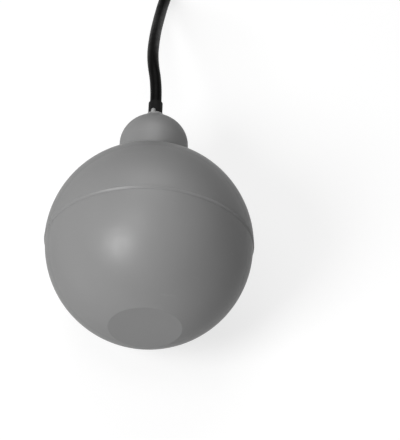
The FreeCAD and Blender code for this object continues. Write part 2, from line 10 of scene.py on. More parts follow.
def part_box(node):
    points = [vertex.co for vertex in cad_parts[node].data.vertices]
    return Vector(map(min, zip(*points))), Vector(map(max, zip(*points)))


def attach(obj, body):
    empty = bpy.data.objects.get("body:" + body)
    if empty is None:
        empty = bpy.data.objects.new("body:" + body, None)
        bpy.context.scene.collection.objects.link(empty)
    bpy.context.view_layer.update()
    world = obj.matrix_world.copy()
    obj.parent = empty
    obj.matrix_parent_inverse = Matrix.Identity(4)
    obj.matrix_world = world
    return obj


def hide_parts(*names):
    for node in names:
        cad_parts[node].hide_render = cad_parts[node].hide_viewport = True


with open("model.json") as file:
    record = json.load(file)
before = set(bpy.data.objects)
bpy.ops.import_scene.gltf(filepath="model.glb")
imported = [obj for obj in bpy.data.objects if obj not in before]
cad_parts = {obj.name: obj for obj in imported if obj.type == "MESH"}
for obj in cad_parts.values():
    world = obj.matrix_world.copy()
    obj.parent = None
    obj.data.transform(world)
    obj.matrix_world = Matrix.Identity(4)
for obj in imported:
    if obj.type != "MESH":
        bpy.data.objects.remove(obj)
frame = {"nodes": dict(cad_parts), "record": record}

bl_info = {
    "name": "Ball Float Level Switch",
    "version": (1, 0, 0),
    "blender": (4, 5, 0),
    "location": "3D View > Sidebar > Float Switch",
    "description": "Dresses the packed frame of a tethered ball float level switch",
    "category": "Object",
}

# ---- places read from the frame, in metres ----
SHELL_LOW, SHELL_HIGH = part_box("lower_shell")
BALL_RADIUS = (SHELL_HIGH.x - SHELL_LOW.x) / 2
BALL_CENTRE = Vector((0.0, SHELL_HIGH.y, (SHELL_LOW.z + SHELL_HIGH.z) / 2))
CABLE_EXIT = Vector((BALL_CENTRE.x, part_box("cable_entry")[1].y, BALL_CENTRE.z))
COLLAR_END = CABLE_EXIT.y - BALL_CENTRE.y
COIL_LOW, COIL_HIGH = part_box("cable_coil")
COIL_CENTRE = Vector(((COIL_LOW.x + COIL_HIGH.x) / 2, (COIL_LOW.y + COIL_HIGH.y) / 2, 0.0))
COIL_RADIUS = (COIL_HIGH.x - COIL_LOW.x) / 2

AXIS = Vector((0.0, 1.0, 0.0))
UP = Vector((0.0, 0.0, 1.0))
FLOAT_BODY = "float"

# The cable's way from the collar to the coil, each point where the line of its middle bends.
RUN_POINTS = [
    (0.0, 0.090934, 0.0706), (0.0, 0.104, 0.0706), (-0.0039, 0.127, 0.0676),
    (-0.0036, 0.156, 0.0505), (-0.0022, 0.186, 0.0275), (0.0008, 0.216, 0.0092),
    (0.0075, 0.243, 0.0039), (0.018, 0.268, 0.0039), (0.0275, 0.293, 0.0045),
]

# From the last turn to the stripped end: degrees round the coil, distance from its middle, height.
TAIL_POINTS = [
    (2, 0.0597, 0.029), (23, 0.0668, 0.0264), (45, 0.0708, 0.0178),
    (67, 0.0718, 0.0082), (88, 0.071, 0.0039), (107, 0.072, 0.0039),
]

# The bared conductors past the jacket's cut end: forward, to the side, and height.
LEAD_POINTS = {
    "black": [
        (0.0, -0.00135, 0.0031), (0.007, -0.00135, 0.0031), (0.019, -0.0043, 0.0019),
        (0.034, -0.0084, 0.0012), (0.046, -0.0096, 0.0012),
    ],
    "white": [
        (0.0, 0.0, 0.0054), (0.008, 0.0, 0.0054), (0.020, 0.0012, 0.0029),
        (0.034, 0.0016, 0.0012), (0.047, 0.0002, 0.0012),
    ],
    "red": [
        (0.0, 0.00135, 0.0031), (0.007, 0.00135, 0.0031), (0.018, 0.0047, 0.0019),
        (0.031, 0.0098, 0.0012), (0.042, 0.0122, 0.0012),
    ],
}

WIRES_ROUND_ONE = 6  # copper wires laid round the middle one
STRAND_POINTS = 10
STRAND_TWIST = math.radians(210)
TIE_PLACES = (60, 180, 300)  # degrees round the coil
SEALANT_LUMPS = ((0.0021, 0.00016), (0.0008, 0.00005))  # size and height of each kind
SEALANT_SHRINK = 0.0001  # draws the skin in, to make room for its lumps

# How many steps an arc or a turn round the axis gets.
BALL_STEPS = 44
RIM_STEPS = 20
FILLET_STEPS = 6
TUBE_STEPS = 96

# Each lamp: its way from the ball to the camera's right, up and back, and its size.
LAMPS = {
    "key": ((-0.53, 0.03, 0.85), 0.6),
    "fill": ((-0.2, 0.48, 0.86), 0.6),
    "top": ((0.0, 0.95, 0.3), 1.0),
    "low": ((0.0, -0.5, 0.86), 1.0),
}
LAMP_DISTANCE = 1.5
FLOOR_DROP = 0.0001  # the floor lies this much under the float
UNSEEN_WHITE = 0.5  # share of the floor's white that rays other than the seen ones get


def metres(description, default):
    return FloatProperty(description=description, default=default, unit="LENGTH", precision=5)


def number_prop(description, default, unit="NONE"):
    return FloatProperty(description=description, default=default, unit=unit)


def count_prop(description, default):
    return IntProperty(description=description, default=default)


def colour_prop(description, default):
    return FloatVectorProperty(
        description=description, default=default, subtype="COLOR", min=0.0, max=1.0
    )


def angle_prop(description, degrees):
    return FloatProperty(description=description, default=math.radians(degrees), subtype="ANGLE")


# ---- settings ----
class ShellSizes(bpy.types.PropertyGroup):
    """Sizes of the two moulded halves of the float, about the middle of the ball."""

    wall: metres("Thickness of both shells", 0.003)
    upper_stand: metres("How far the upper half stands out over the ball", 0.0004)
    lower_shrink: metres("How far the lower half stays inside the ball", 0.00015)
    lip_start: metres("Where the upper half starts to widen, from the seam", 0.0012)
    lip_end: metres("Where it has its full radius, from the seam", 0.0026)
    flat_radius: metres("Flat on the pole away from the cable", 0.0253)
    flat_round: metres("Rounding of the flat's edge", 0.0014)
    neck_radius: metres("Outside of the cable neck", 0.0231)
    neck_rise: metres("From the ball's top to the start of the dome", 0.0107)
    neck_round: metres("Fillet between ball and neck", 0.0016)
    dome_height: metres("Height of the neck's elliptical dome", 0.0211)
    hole_radius: metres("Hole for the collar of the cable seal", 0.00495)
    rim_wall: metres("Thickness of the weld rims", 0.0062)
    rim_depth: metres("How far the rims run in from the seam", 0.007)
    rim_slope: metres("Bevel that ends each rim", 0.003)
    tongue_width: metres("Tongue of the upper shell", 0.0018)
    tongue_height: metres("How far the tongue stands out", 0.003)
    tongue_play: metres("Room round the tongue in its groove", 0.0001)
    pocket_radius: metres("Pocket for the cable seal", 0.0105)
    pocket_roof: metres("Plastic above the pocket", 0.0073)
    pocket_depth: metres("Depth of the pocket", 0.0145)
    cavity_radius: metres("Room for the head of the switch capsule", 0.0183)
    skirt_wall: metres("Thickness of the capsule's skirt", 0.0032)
    skirt_length: metres("From the cavity's roof to the skirt's end", 0.046)
    socket_bore: metres("Socket for the capsule's end", 0.012875)
    socket_wall: metres("Thickness of the socket", 0.0036)
    socket_seat: metres("Where the capsule's end stands, along the axis", -0.044)
    socket_grip: metres("How far the socket holds the capsule", 0.0045)
    socket_eye: metres("Hole in the socket's floor", 0.009875)
    rib_width: metres("Thickness of the ribs", 0.0022)
    rib_count: count_prop("Ribs round each tube", 6)
    rib_gap: metres("From the ballast to the ribs over it", 0.0003)
    edge_round: metres("Small rounding of the moulded edges", 0.00022)
    segments: count_prop("Steps round the axis", 192)


class BeadSizes(bpy.types.PropertyGroup):
    """Sizes of the plastic pressed out of the welded seam."""

    radius: metres("Rounding of the bead's top", 0.001)
    place: metres("Top of the bead, from the seam", 0.00204)
    stand: metres("How far the bead stands out of the ball", 0.0006)
    flank: metres("Length of its straight side towards the seam", 0.00137)
    slope: angle_prop("Slope of that side against the ball", 33)
    unevenness: number_prop("Share of the bead's section that comes and goes", 0.12)
    lump: metres("Length of one swelling along the seam", 0.014)
    segments: count_prop("Steps round the seam", 480)


class SealSizes(bpy.types.PropertyGroup):
    """Sizes of the rubber seal round the cable and of the sealant at its collar."""

    collar_wall: metres("Rubber round the cable", 0.0009)
    collar_short: metres("From the collar's end to the cable's exit", 0.002)
    bore: metres("Inside radius of the seal", 0.00394)
    ridge_radius: metres("Outside of the sealing ridges", 0.01035)
    lip_round: metres("Rounding of the collar's end", 0.00028)
    foot_radius: metres("Foot of the ring of sealant", 0.0086)
    crest: metres("Top of the sealant above the dome", 0.0028)
    crest_width: metres("Width of the sealant's top", 0.0012)
    hollow: metres("How far its flank is drawn in", 0.0003)
    drop_radius: metres("Run of sealant standing on the crest", 0.0017)
    drop_rise: metres("Middle of that run above the crest", 0.0007)
    grain: metres("Size of the finished sealant's faces", 0.00024)


class CableSizes(bpy.types.PropertyGroup):
    """Sizes of the cable and of the coil that its spare length is wound into."""

    length: metres("Whole length of the free cable", 4.8)
    diameter: metres("Outside of the jacket", 0.0078)
    turn_pitch: metres("From one turn to the next", 0.0079)
    columns: count_prop("Turns side by side in a layer", 4)
    layers: count_prop("Layers of turns", 4)
    turn_points: count_prop("Points in each turn", 24)
    wander: metres("How far the turns leave a circle between the ties", 0.0003)
    slack: metres("Room kept between the coil and its outline", 0.00002)
    shift_first: angle_prop("Where the first pass leaves its place", 4)
    shift_width: angle_prop("How long a pass takes to its next place", 118)
    shift_lag: angle_prop("How much later the passes below it follow", 36.5)
    core_diameter: metres("Outside of an insulated conductor", 0.0024)
    bare_length: metres("Bared copper at each conductor's end", 0.0089)
    strand_diameter: metres("One copper wire", 0.0004)
    tucked: metres("How far the middle wire starts inside its insulation", 0.001)
    tie_width: metres("Band round the coil", 0.006)
    tie_thickness: metres("Thickness of the band", 0.0012)
    tie_play: metres("Room between the band and the turns", 0.00018)
    tie_round: metres("Rounding of the band's edges", 0.0003)
    head_length: metres("Length of a tie's locking head", 0.0085)
    head_height: metres("Height of that head", 0.0052)
    head_sides: metres("How much wider it is than the band", 0.0026)
    head_rise: metres("Its middle above the band", 0.0022)
    head_round: metres("Rounding of its edges", 0.0005)
    slot_lip: metres("Wall round its slot", 0.0011)
    slot_depth: metres("Depth of that slot", 0.003)
    tail_length: metres("Length of a tie's cut tail", 0.0105)
    tail_reach: metres("Middle of the tail from the head's", 0.0025)


class Colours(bpy.types.PropertyGroup):
    """Base colours of the finishes that show."""

    shell: colour_prop("Moulded float", (0.27, 0.27, 0.27))
    sealant: colour_prop("Ring round the collar", (0.33, 0.33, 0.33))
    cable: colour_prop("Rubber jacket", (0.004, 0.004, 0.004))
    seal: colour_prop("Rubber of the cable's seal", (0.006, 0.006, 0.006))
    copper: colour_prop("Bare strands", (0.72, 0.36, 0.2))


class StageSettings(bpy.types.PropertyGroup):
    """Camera, lamps and floor."""

    azimuth: angle_prop("Camera's turn round the float", 2.1)
    elevation: angle_prop("Camera's height above the horizon", 57)
    distance: metres("From the camera to the ball", 6.0)
    view_height: metres("Height of the view at the ball", 0.2949)
    ball_right: metres("Ball's middle from the view's, to the right", -0.0342)
    ball_up: metres("Ball's middle from the view's, upwards", -0.0171)
    key_power: number_prop("Large lamp above on the left", 17.0, "POWER")
    fill_power: number_prop("Second lamp, higher than the large one", 3.4, "POWER")
    top_power: number_prop("Wide lamp high behind the neck", 7.0, "POWER")
    low_power: number_prop("Weak lamp that faces the flat", 1.6, "POWER")
    sky: number_prop("Strength of the even light", 0.08)
    floor_colour: colour_prop("Paint of the floor", (0.3, 0.3, 0.3))
    floor_white: number_prop("Even white of the floor as it is seen", 0.74)


# ---- helpers ----
def settings():
    return bpy.context.scene.float_switch


def linked(name, data):
    piece = bpy.data.objects.new(name, data)
    bpy.context.scene.collection.objects.link(piece)
    return piece


def eased(share):
    """Goes from 0 to 1, gently at both ends."""
    return (1 - math.cos(math.pi * min(max(share, 0.0), 1.0))) / 2


def on_sphere(radius, along):
    """Distance from the axis of a sphere at a place along it."""
    return math.sqrt(radius**2 - along**2)


def scaled(place, share):
    return (place[0] * share, place[1] * share)


def verts_in(items):
    return [item for item in items if isinstance(item, bmesh.types.BMVert)]


def move(bm, way, verts=None):
    bmesh.ops.translate(bm, verts=bm.verts if verts is None else verts, vec=way)


def stretch(bm, shares):
    bmesh.ops.scale(bm, verts=bm.verts, vec=shares)


def rotate(bm, angle, axis):
    bmesh.ops.rotate(bm, verts=bm.verts, cent=(0, 0, 0), matrix=Matrix.Rotation(angle, 3, axis))


def face_out(bm):
    bmesh.ops.recalc_face_normals(bm, faces=bm.faces)


def spin_about_axis(bm, angle, steps, **options):
    geom = bm.verts[:] + bm.edges[:] + bm.faces[:]
    bmesh.ops.spin(bm, geom=geom, cent=(0, 0, 0), axis=AXIS, angle=angle, steps=steps, **options)


class Outline:
    """An outline drawn corner by corner, each by its distance from the axis and place along it."""

    def __init__(self, start):
        self.bm = bmesh.new()
        self.here = self.first = self.bm.verts.new((*start, 0.0))

    def run(self, *places):
        """Straight runs to the next corners."""
        for place in places:
            self.here = bmesh.ops.extrude_vert_indiv(self.bm, verts=[self.here])["verts"][0]
            self.here.co = (*place, 0.0)

    def arc(self, centre, angle, steps):
        made = bmesh.ops.spin(
            self.bm, geom=[self.here], cent=(*centre, 0.0), axis=UP, angle=angle, steps=steps
        )
        self.here = verts_in(made["geom_last"])[0]

    def bend(self, centre, end, steps):
        """An arc about a centre, the short way to an end."""
        start = self.here.co.xy
        first = math.atan2(start[1] - centre[1], start[0] - centre[0])
        last = math.atan2(end[1] - centre[1], end[0] - centre[0])
        self.arc(centre, (last - first + math.pi) % (2 * math.pi) - math.pi, steps)
        self.here.co = (*end, 0.0)

    def close(self):
        self.bm.edges.new((self.here, self.first))

    def turned(self, steps):
        """The surface that the outline makes, which is closed first unless it ends on the axis."""
        bm = self.bm
        if self.here.co.x > 0:
            self.close()
        spin_about_axis(bm, 2 * math.pi, steps, use_merge=True)
        bmesh.ops.remove_doubles(bm, verts=bm.verts, dist=1e-6)
        face_out(bm)
        return bm


def round_off(bm, geom, offset, segments, **options):
    bmesh.ops.bevel(
        bm, geom=geom, offset=offset, segments=segments, profile=0.5, material=-1, **options
    )


def soften_edges(bm, offset, segments, degrees=35):
    """Rounds every edge that turns by more than that."""
    sharp = [edge for edge in bm.edges if edge.calc_face_angle(0) > math.radians(degrees)]
    round_off(bm, sharp, offset, segments, affect="EDGES", clamp_overlap=True)


def mesh_of(name, bm):
    mesh = bpy.data.meshes.new(name)
    bm.to_mesh(mesh)
    bm.free()
    return mesh


def add_closed_part(bm, part):
    """Adds another closed form to a piece."""
    face_out(part)
    mesh = mesh_of("part", part)
    bm.from_mesh(mesh)
    bpy.data.meshes.remove(mesh)


def finished(name, bm, material, place=None, sharp_degrees=40):
    """The piece made of a mesh, set where it belongs, with its smooth faces and crisp edges."""
    if place is not None:
        move(bm, place)
    for face in bm.faces:
        face.smooth = True
    for edge in bm.edges:
        edge.smooth = edge.calc_face_angle(0) < math.radians(sharp_degrees)
    mesh = mesh_of(name, bm)
    mesh.materials.append(material)
    piece = linked(name, mesh)
    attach(piece, FLOAT_BODY)
    return piece


class Step:
    """A step of the dressing, which works from the settings."""

    def execute(self, context):
        self.build(settings())
        return {"FINISHED"}


# ---- finishes ----
def shade_of(colour, share):
    return [min(part * share, 1.0) for part in colour]


class Finish:
    """A material with one principled shader, built up node by node."""

    def __init__(self, name, **sockets):
        self.material = bpy.data.materials.new(name)
        self.material.use_nodes = True
        self.tree = self.material.node_tree
        self.shader = self.tree.nodes["Principled BSDF"]
        self.shade(**sockets)
        self.place = self.node("TexCoord", "Object")

    def fill(self, node, sockets):
        """Sets each socket of a node to a value, or links it to an output."""
        for name, given in sockets.items():
            socket = node.inputs[name if isinstance(name, int) else name.replace("_", " ")]
            if isinstance(given, bpy.types.NodeSocket):
                self.tree.links.new(given, socket)
            else:
                socket.default_value = given

    def shade(self, **sockets):
        self.fill(self.shader, sockets)

    def node(self, kind, output, **sockets):
        """The output of a new node."""
        node = self.tree.nodes.new("ShaderNode" + kind)
        self.fill(node, sockets)
        return node.outputs[output]

    def maths(self, operation, *values):
        node = self.tree.nodes.new("ShaderNodeMath")
        node.operation = operation
        self.fill(node, dict(enumerate(values)))
        return node.outputs[0]

    def stretched(self, scale):
        """Object coordinates drawn out along an axis."""
        return self.node("Mapping", "Vector", Scale=scale, Vector=self.place)

    def cloud(self, scale, detail=4.0, roughness=0.5, distortion=0.0, place=None):
        grain = {"Scale": scale, "Detail": detail, "Roughness": roughness}
        place = place or self.place
        return self.node("TexNoise", "Fac", Distortion=distortion, Vector=place, **grain)

    def cells(self, scale):
        return self.node("TexVoronoi", "Distance", Scale=scale, Vector=self.place)

    def between(self, value, low, high, to_low=0.0, to_high=1.0):
        """A value spread from one range to another, and held at its ends."""
        ends = {"From Min": low, "From Max": high, "To Min": to_low, "To Max": to_high}
        return self.node("MapRange", "Result", Value=value, **ends)

    def colour(self, colour, scale, spread, detail=4.0, over=None):
        """The base colour, darker here and lighter there, with a second laid over by a share."""
        ramp = self.tree.nodes.new("ShaderNodeValToRGB")
        tones = ((0.3, 1 - spread), (0.7, 1 + spread))
        for element, (position, share) in zip(ramp.color_ramp.elements, tones):
            element.position = position
            element.color = (*shade_of(colour, share), 1.0)
        self.fill(ramp, {"Fac": self.cloud(scale, detail)})
        seen = ramp.outputs["Color"]
        if over is not None:
            share, second = over
            mix = self.tree.nodes.new("ShaderNodeMix")
            mix.data_type = "RGBA"
            self.fill(mix, {"Factor": share, 6: seen, 7: (*second, 1.0)})
            seen = mix.outputs[2]
        self.shade(Base_Color=seen)

    def roughness(self, value, smooth, rough, low=0.3, high=0.7):
        self.shade(Roughness=self.between(value, low, high, smooth, rough))

    def relief(self, *layers):
        """Heights laid one on another, each with its depth in metres."""
        normal = {}
        for height, depth in layers:
            normal["Normal"] = self.node("Bump", "Normal", Height=height, Distance=depth, **normal)
        self.shade(**normal)


def moulded_shell(finish, colour):
    """Thick matte moulding with an even grain, faint flow of the melt and a few scuffs.

    Its sheen comes from a trace of metal with a black edge tint, so it stays matte at the limb.
    """
    finish.shade(Specular_IOR_Level=0.04, Metallic=0.1, Specular_Tint=(0, 0, 0, 1))
    scuff_place = finish.stretched((26.0, 310.0, 90.0))
    scuffs = finish.between(finish.cloud(1.0, 6.0, 0.62, 0.4, scuff_place), 0.63, 0.74)
    rubbed = finish.between(scuffs, 0, 1, 0, 0.16)
    finish.colour(colour, 22.0, 0.018, 3.0, over=(rubbed, shade_of(colour, 1.35)))
    finish.roughness(finish.cloud(140.0, 5.0, 0.6), 0.36, 0.43)
    finish.relief(
        (finish.cloud(38.0, 2.0), 0.00010),
        (finish.cloud(2300.0, 2.0, 0.55), 0.000022),
        (scuffs, 0.00001),
    )


def cured_sealant(finish, colour):
    """Squeezed-out sealant: satin, a little lumpy, paler where it is thin."""
    finish.shade(Specular_IOR_Level=0.5)
    finish.colour(colour, 420.0, 0.10)
    finish.roughness(finish.cloud(500.0), 0.32, 0.46)
    finish.relief((finish.cloud(650.0, 3.0), 0.00012), (finish.cloud(4200.0, 2.0), 0.00001))


def extruded_rubber(finish, colour):
    """Cable jacket: near black, with a bloom of dust and the fine drag of the die."""
    finish.shade(Specular_IOR_Level=0.06)
    dust = finish.between(finish.cloud(95.0, 6.0, 0.65, 0.6), 0.5, 0.78, 0, 0.12)
    finish.colour(colour, 60.0, 0.2, over=(dust, [part * 1.9 + 0.003 for part in colour]))
    finish.roughness(finish.cloud(260.0, 5.0), 0.36, 0.52)
    finish.relief((finish.cloud(320.0, 3.0), 0.00004), (finish.cloud(2800.0, 2.0), 0.000012))


def moulded_rubber(finish, colour):
    """Matte seal rubber with a talc bloom."""
    finish.shade(Specular_IOR_Level=0.2)
    bloom = finish.between(finish.cloud(300.0, 5.0, 0.6), 0.5, 0.8, 0, 0.25)
    finish.colour(colour, 120.0, 0.15, over=(bloom, [0.02, 0.02, 0.0195]))
    finish.roughness(finish.cloud(380.0), 0.6, 0.78)
    finish.relief((finish.cloud(1700.0, 3.0), 0.00002))


def sand_cast(finish, colour):
    """Cast iron from a sand mould: dark skin, coarse grain, pits and traces of rust."""
    finish.shade(Metallic=0.7, Specular_IOR_Level=0.4)
    rust = finish.between(finish.cloud(70.0, 8.0, 0.7, 0.5), 0.56, 0.72, 0, 0.7)
    finish.colour(colour, 200.0, 0.3, 8.0, over=(rust, [0.12, 0.052, 0.026]))
    finish.roughness(finish.cloud(240.0, 6.0), 0.62, 0.88)
    pits = finish.between(finish.cells(620.0), 0.0, 0.22)
    finish.relief((finish.cloud(520.0, 8.0, 0.7), 0.00028), (pits, 0.00016))


def brushed_metal(finish, colour, tint=(0.5, 0.46, 0.38)):
    """Plated or rolled steel with fine marks one way and a little staining."""
    finish.shade(Metallic=1.0)
    lines = finish.cloud(1.0, 3.0, 0.6, 0.0, finish.stretched((5200.0, 260.0, 5200.0)))
    stain = finish.between(finish.cloud(130.0, 5.0, 0.6), 0.55, 0.8, 0, 0.45)
    finish.colour(colour, 900.0, 0.06, over=(stain, tint))
    finish.roughness(lines, 0.24, 0.4)
    finish.relief((lines, 0.000006))


def polished_ball(finish, colour):
    """Ground and polished bearing steel with hair-fine scratches."""
    finish.shade(Metallic=1.0)
    hairs = finish.cloud(1.0, 4.0, 0.6, 0.8, finish.stretched((300.0, 3600.0, 900.0)))
    scratches = finish.between(hairs, 0.62, 0.72)
    finish.colour(colour, 160.0, 0.03)
    finish.roughness(scratches, 0.06, 0.22, 0.0, 1.0)
    finish.relief((scratches, 0.000002))


def moulded_nylon(finish, colour):
    """Unfilled satin moulding, a little cloudy."""
    finish.shade(Specular_IOR_Level=0.5)
    finish.colour(colour, 90.0, 0.05, 3.0)
    finish.roughness(finish.cloud(240.0), 0.34, 0.44)
    finish.relief((finish.cloud(60.0, 2.0), 0.00008), (finish.cloud(3000.0, 2.0), 0.00001))


def filled_resin(finish, colour):
    """Dark moulding filled with short fibres, which show as pale flecks."""
    finish.shade(Specular_IOR_Level=0.5)
    fibres = finish.cloud(1.0, 2.0, 0.5, 0.0, finish.stretched((900.0, 5200.0, 2600.0)))
    flecks = finish.between(fibres, 0.66, 0.74, 0, 0.4)
    finish.colour(colour, 350.0, 0.12, over=(flecks, [0.16, 0.15, 0.14]))
    finish.roughness(finish.cloud(700.0), 0.38, 0.5)
    finish.relief((finish.cloud(3600.0, 2.0), 0.00001), (flecks, 0.000006))


def tarnished_brass(finish, colour):
    """Stamped brass, duller and browner where it has been handled."""
    finish.shade(Metallic=1.0)
    tarnish = finish.between(finish.cloud(420.0, 6.0, 0.65, 0.4), 0.45, 0.75, 0, 0.6)
    finish.colour(colour, 1400.0, 0.08, over=(tarnish, [0.42, 0.26, 0.12]))
    finish.roughness(finish.cloud(800.0), 0.24, 0.42)
    finish.relief((finish.cloud(2600.0, 3.0), 0.000008))


def cast_resin(finish, colour):
    """Glossy potting resin with small bubbles caught at its face."""
    finish.shade(Specular_IOR_Level=0.5, Coat_Weight=0.5, Coat_Roughness=0.08)
    finish.colour(colour, 150.0, 0.3)
    finish.roughness(finish.cloud(200.0), 0.12, 0.26)
    bubbles = finish.between(finish.cells(900.0), 0.0, 0.12)
    finish.relief((finish.cloud(70.0, 2.0), 0.0002), (bubbles, 0.00012))


def wire_insulation(finish, colour):
    """Satin insulation with a faint rub along it."""
    finish.shade(Specular_IOR_Level=0.5)
    rub = finish.between(finish.cloud(500.0, 6.0, 0.7, 0.5), 0.55, 0.8, 0, 0.22)
    finish.colour(colour, 260.0, 0.08, over=(rub, [part * 0.6 + 0.06 for part in colour]))
    finish.roughness(finish.cloud(900.0), 0.28, 0.42)
    finish.relief((finish.cloud(1500.0, 2.0), 0.00001))


def shrunk_sleeve(finish, colour):
    """Shrink sleeve drawn into fine wrinkles."""
    finish.shade(Specular_IOR_Level=0.5)
    wrinkles = finish.cloud(1.0, 3.0, 0.6, 0.6, finish.stretched((900.0, 2600.0, 900.0)))
    finish.colour(colour, 300.0, 0.15)
    finish.roughness(wrinkles, 0.32, 0.5)
    finish.relief((wrinkles, 0.00006))


def bare_copper(finish, colour):
    """Bright drawn copper, browner in places."""
    finish.shade(Metallic=1.0)
    oxide = finish.between(finish.cloud(700.0, 5.0, 0.6), 0.5, 0.8, 0, 0.5)
    finish.colour(colour, 2000.0, 0.06, over=(oxide, [0.3, 0.12, 0.06]))
    finish.roughness(finish.cloud(1800.0), 0.2, 0.36)
    finish.relief((finish.cloud(5200.0, 2.0), 0.000006))

FINISH_OF_SLOT = {
    "shell": moulded_shell,
    "sealant": cured_sealant,
    "cable_rubber": extruded_rubber,
    "grommet_rubber": moulded_rubber,
    "ballast_iron": sand_cast,
    "plated_steel": brushed_metal,
    "bearing_steel": polished_ball,
    "spring_steel": brushed_metal,
    "capsule_plastic": moulded_nylon,
    "case_plastic": filled_resin,
    "cover_plastic": filled_resin,
    "plunger_plastic": moulded_nylon,
    "contact_brass": tarnished_brass,
    "potting_resin": cast_resin,
    "core_black": wire_insulation,
    "core_white": wire_insulation,
    "core_red": wire_insulation,
    "shrink_sleeve": shrunk_sleeve,
    "tie_nylon": moulded_nylon,
}


def finish_for(slot):
    """The finish of a material slot, made once."""
    known = bpy.data.materials.get(slot + "_finish")
    if known is not None:
        return known
    chosen = settings().colours
    own = {
        "shell": chosen.shell,
        "sealant": chosen.sealant,
        "cable_rubber": chosen.cable,
        "grommet_rubber": chosen.seal,
    }
    recorded = {row["slot"]: row["base_color"] for row in frame["record"]["materials"]}
    finish = Finish(slot + "_finish")
    FINISH_OF_SLOT[slot](finish, list(own.get(slot, recorded[slot])))
    return finish.material


# ---- the moulded shells ----
def tongue_places(sizes, play):
    """Down one side of the weld tongue and up the other, or round its groove with play."""
    middle = BALL_RADIUS - sizes.rim_wall / 2
    inner = middle - sizes.tongue_width / 2 - play
    outer = middle + sizes.tongue_width / 2 + play
    low = -sizes.tongue_height - 2 * play
    return (inner, 0), (inner, low), (outer, low), (outer, 0)


def add_ribs(bm, sizes, places, slope, end):
    """Ribs round a tube: their corners, the slope of their edge, and the shell's arc to an end."""
    buried = BALL_RADIUS - sizes.wall / 2
    line = Outline(places[0])
    line.run(*places[1:], meeting(buried, *places[-1], slope))
    line.bend((0.0, 0.0), (on_sphere(buried, end), end), 10)
    line.close()
    ribs = line.bm
    face = bmesh.ops.contextual_create(ribs, geom=ribs.edges[:])["faces"]
    move(ribs, (0, 0, -sizes.rib_width / 2))
    grown = bmesh.ops.extrude_face_region(ribs, geom=face, use_keep_orig=True)["geom"]
    move(ribs, (0, 0, sizes.rib_width), verts_in(grown))
    steps = sizes.rib_count - 1
    spin_about_axis(ribs, 2 * math.pi * steps / sizes.rib_count, steps, use_duplicate=True)
    add_closed_part(bm, ribs)


def meeting(radius, start, along, slope):
    """Where a sloping line from a place meets a sphere about the middle of the ball."""
    a = 1 + slope**2
    b = 2 * slope * (along - slope * start)
    c = (along - slope * start) ** 2 - radius**2
    across = (-b + math.sqrt(b * b - 4 * a * c)) / (2 * a)
    return (across, along + slope * (across - start))


class FLOAT_OT_lower_half(Step, bpy.types.Operator):
    """Moulds the half with the flat, its weld groove, and the ribbed socket for the capsule"""

    bl_idname = "float_switch.lower_half"
    bl_label = "Lower Half"

    def build(self, chosen):
        sizes = chosen.shell
        inner_radius = BALL_RADIUS - sizes.wall
        flat = -on_sphere(BALL_RADIUS, sizes.flat_radius)
        floor = flat + sizes.wall
        line = Outline((0.0, floor))
        line.run((on_sphere(inner_radius, floor), floor))
        line.bend((0, 0), (on_sphere(inner_radius, sizes.rim_depth), -sizes.rim_depth), RIM_STEPS)
        rim_radius = BALL_RADIUS - sizes.rim_wall
        ball = BALL_RADIUS - sizes.lower_shrink
        line.run(
            (rim_radius, sizes.rim_slope - sizes.rim_depth),
            (rim_radius, 0.0),
            *tongue_places(sizes, sizes.tongue_play),
            (ball, 0.0),
        )
        from_middle = ball - sizes.flat_round
        round_at = flat + sizes.flat_round
        round_centre = (on_sphere(from_middle, round_at), round_at)
        line.bend((0, 0), scaled(round_centre, ball / from_middle), BALL_STEPS)
        line.bend(round_centre, (round_centre[0], flat), FILLET_STEPS)
        line.run((0.0, flat))
        bm = line.turned(sizes.segments)
        soften_edges(bm, sizes.edge_round, 2)
        self.add_socket(bm, sizes, floor)
        piece = finished("lower_half", bm, finish_for("shell"), BALL_CENTRE)
        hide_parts("lower_shell")

    def add_socket(self, bm, sizes, floor):
        """The tube that the capsule stands in, and its ribs."""
        outside = sizes.socket_bore + sizes.socket_wall
        seat = sizes.socket_seat
        foot = floor - sizes.wall / 2
        line = Outline((outside, foot))
        line.run(
            (outside, seat + sizes.socket_grip),
            (sizes.socket_bore, seat + sizes.socket_grip),
            (sizes.socket_bore, seat),
            (sizes.socket_eye, seat),
            (sizes.socket_eye, foot),
        )
        socket = line.turned(TUBE_STEPS)
        soften_edges(socket, sizes.edge_round, 2)
        add_closed_part(bm, socket)
        shoulder = outside + 2 * sizes.rib_width
        slope = (foot - seat) / (BALL_RADIUS - sizes.wall / 2 - shoulder)
        inside = outside - sizes.socket_wall / 2
        add_ribs(bm, sizes, [(inside, foot), (inside, seat), (shoulder, seat)], slope, foot)


